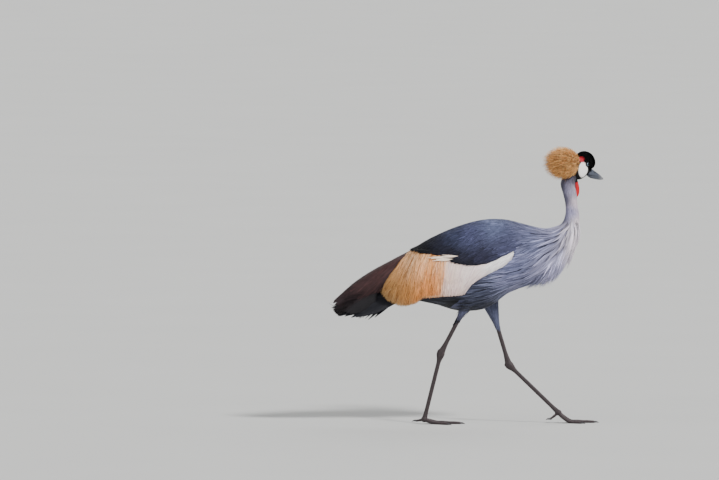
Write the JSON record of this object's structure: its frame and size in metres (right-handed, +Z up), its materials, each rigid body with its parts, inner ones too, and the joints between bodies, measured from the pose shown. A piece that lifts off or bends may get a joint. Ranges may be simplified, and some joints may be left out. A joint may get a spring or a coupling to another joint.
{
  "type": "grey crowned crane",
  "caption": "Life-size grey crowned crane in mid stride, with a round golden crest, white and golden wings and a dark tail, as a still display model.",
  "frame": {"origin": "on the floor, at the middle of the underside of the bounding box", "axes": "+X the way the bird walks, +Y its left side, +Z up"},
  "size_m": [0.8363, 0.205, 0.8581],
  "materials": {
    "plumage_slate": "soft matt slate grey feathers with darker centres",
    "plumage_grey": "soft matt pale lilac grey feathers",
    "plumage_white": "smooth pinkish white covert feathers",
    "plumage_gold": "golden straw hair-like plumes and bristles",
    "plumage_chestnut": "dark chestnut feathers with a low sheen",
    "plumage_black": "black feathers with a low sheen",
    "velvet": "short dense black velvety feathers",
    "cheek_skin": "bare matt white skin with a fine grain",
    "red_skin": "bare red skin with fine folds",
    "leg_skin": "blackish skin in small scales",
    "horn": "slate grey horn, satin, with fine lengthwise grain",
    "eye": "wet, pale blue-grey iris round a black pupil"
  },
  "bodies": {
    "root": {"trunk": "plumage_slate", "neck_lower": "plumage_grey", "neck_upper": "plumage_grey", "tail": "plumage_black", "thigh_right": "plumage_slate", "thigh_left": "plumage_slate", "head": "cheek_skin", "forehead_cap": "velvet", "bill_upper": "horn", "bill_lower": "horn", "crest": "plumage_gold", "throat_wattle": "red_skin", "eye_left": "eye", "eye_right": "eye", "wing_right_coverts": "plumage_white", "wing_right_plumes": "plumage_gold", "wing_right_secondaries": "plumage_chestnut", "wing_right_primaries": "plumage_black", "wing_left_coverts": "plumage_white", "wing_left_plumes": "plumage_gold", "wing_left_secondaries": "plumage_chestnut", "wing_left_primaries": "plumage_black", "shank_right": "leg_skin", "tarsus_right": "leg_skin", "foot_right": "leg_skin", "toe_right_middle": "leg_skin", "toe_right_inner": "leg_skin", "toe_right_outer": "leg_skin", "toe_right_hind": "leg_skin", "claw_right_middle": "horn", "claw_right_inner": "horn", "claw_right_outer": "horn", "claw_right_hind": "horn", "shank_left": "leg_skin", "tarsus_left": "leg_skin", "foot_left": "leg_skin", "toe_left_middle": "leg_skin", "toe_left_inner": "leg_skin", "toe_left_outer": "leg_skin", "toe_left_hind": "leg_skin", "claw_left_middle": "horn", "claw_left_inner": "horn", "claw_left_outer": "horn", "claw_left_hind": "horn"}
  },
  "joints": []
}
